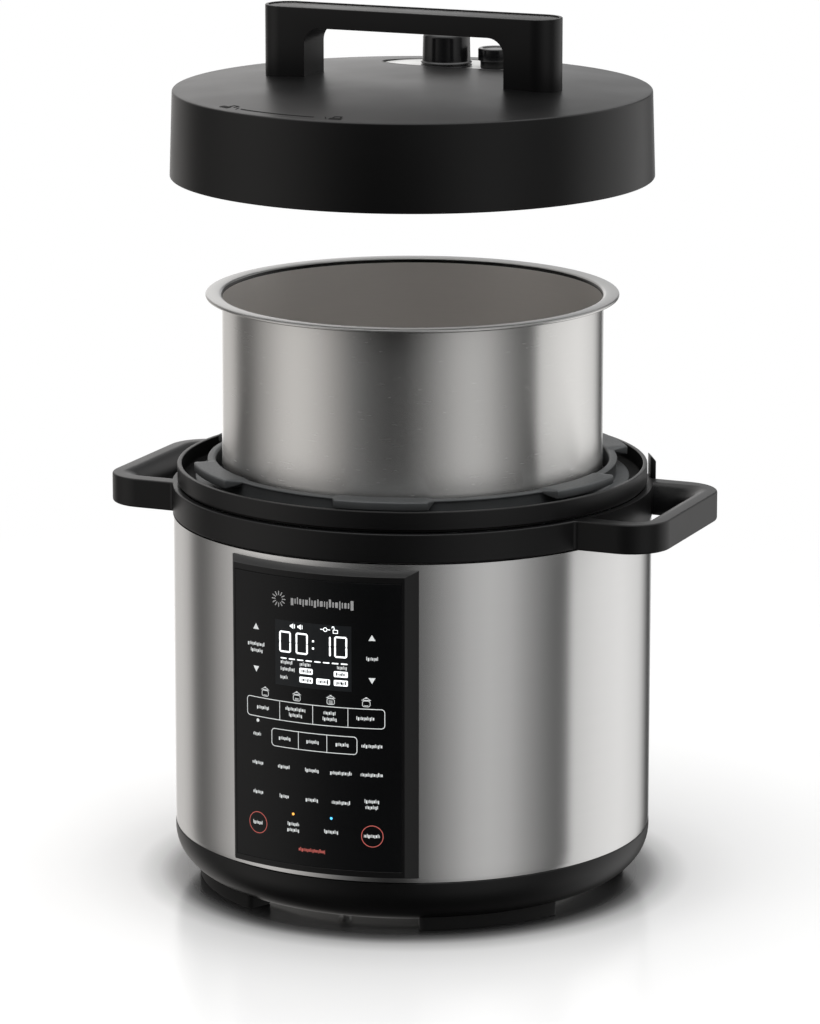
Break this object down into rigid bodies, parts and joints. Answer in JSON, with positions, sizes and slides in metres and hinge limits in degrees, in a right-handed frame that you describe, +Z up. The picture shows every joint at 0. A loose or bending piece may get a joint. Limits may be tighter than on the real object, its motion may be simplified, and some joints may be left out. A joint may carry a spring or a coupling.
{
  "type": "electric pressure cooker",
  "caption": "Round countertop electric pressure cooker with a front control panel, two side handles, a lift-out pot and a twist-lock lid with a release valve, both raised.",
  "frame": {"origin": "on the worktop under the cooker's axis, in the plane of the feet", "axes": "+Z up the cooker's axis, -Y towards the control panel, +X towards the right-hand side handle"},
  "size_m": [0.349, 0.2924, 0.5118],
  "materials": {
    "black_plastic": "satin",
    "lid_plastic": "satin, fine grain",
    "gloss_black": "gloss",
    "rubber": "matte",
    "silicone": "satin, translucent white",
    "steel": "brushed",
    "dark_metal": "satin cast",
    "aluminium": "satin",
    "circuit_board": "solder mask",
    "display": "gloss",
    "red_metal": "gloss"
  },
  "bodies": {
    "base": {"base_shell": "black_plastic", "bottom_plate": "steel", "base_screw_1": "steel", "base_screw_2": "steel", "base_screw_3": "steel", "foot_1": "rubber", "foot_2": "rubber", "foot_3": "rubber", "foot_4": "rubber", "outer_shell": "steel", "side_handles": "black_plastic", "upper_rim": "black_plastic", "bayonet_ring": "dark_metal", "liner": "aluminium", "heating_plate": "aluminium", "heating_element": "dark_metal", "sensor_spring": "steel", "pressure_switch": "black_plastic", "power_board": "circuit_board", "control_board": "circuit_board", "display_module": "display", "power_inlet": "black_plastic", "collector_holder": "black_plastic", "panel_bezel": "black_plastic", "panel_glass": "gloss_black"},
    "sensor": {"temperature_sensor": "aluminium"},
    "cup": {"collector_cup": "black_plastic"},
    "pot": {"inner_pot": "steel"},
    "seal": {"seal_ring": "silicone"},
    "lid": {"lid_shell": "lid_plastic", "inner_lid": "steel", "seal_rack": "steel", "lid_handle": "black_plastic", "handle_cap": "black_plastic", "handle_screw_1": "steel", "handle_screw_2": "steel", "valve_plate": "aluminium", "valve_pipe": "steel", "anti_block_shield": "steel", "button_collar": "black_plastic", "button_spring": "steel"},
    "weight": {"pressure_valve": "gloss_black"},
    "button": {"release_button": "gloss_black"},
    "float": {"float_valve": "red_metal", "float_seal": "silicone"}
  },
  "joints": [
    {"name": "pot_lift", "type": "slide", "parent": "base", "child": "pot", "axis": [0, 0, 1], "range_m": [-0.0942, 0.066]},
    {"name": "lid_lift", "type": "slide", "parent": "pot", "child": "seal", "axis": [0, 0, 1], "range_m": [-0.0858, 0]},
    {"name": "lid_turn", "type": "hinge", "parent": "seal", "child": "lid", "pos_m": [0, 0, 0.43], "axis": [0, 0, 1], "range_deg": [-30, 0]},
    {"name": "release_press", "type": "slide", "parent": "lid", "child": "button", "axis": [0, 0, 1], "range_m": [-0.004, 0], "stiffness_N_per_m": 250, "springref_m": 0.004, "deforming": ["button_spring"]},
    {"name": "valve_lift", "type": "slide", "parent": "lid", "child": "weight", "axis": [0, 0, 1], "range_m": [0, 0.003]},
    {"name": "float_rise", "type": "slide", "parent": "lid", "child": "float", "axis": [0, 0, 1], "range_m": [0, 0.004]},
    {"name": "sensor_press", "type": "slide", "parent": "base", "child": "sensor", "axis": [0, 0, 1], "range_m": [-0.0015, 0], "stiffness_N_per_m": 1500, "springref_m": 0.002, "deforming": ["sensor_spring"]},
    {"name": "collector_slide", "type": "slide", "parent": "base", "child": "cup", "axis": [0, 1, 0], "range_m": [0, 0.045]}
  ],
  "couplings": [
    {"joint": "valve_lift", "follows": "release_press", "ratio": -0.75}
  ]
}
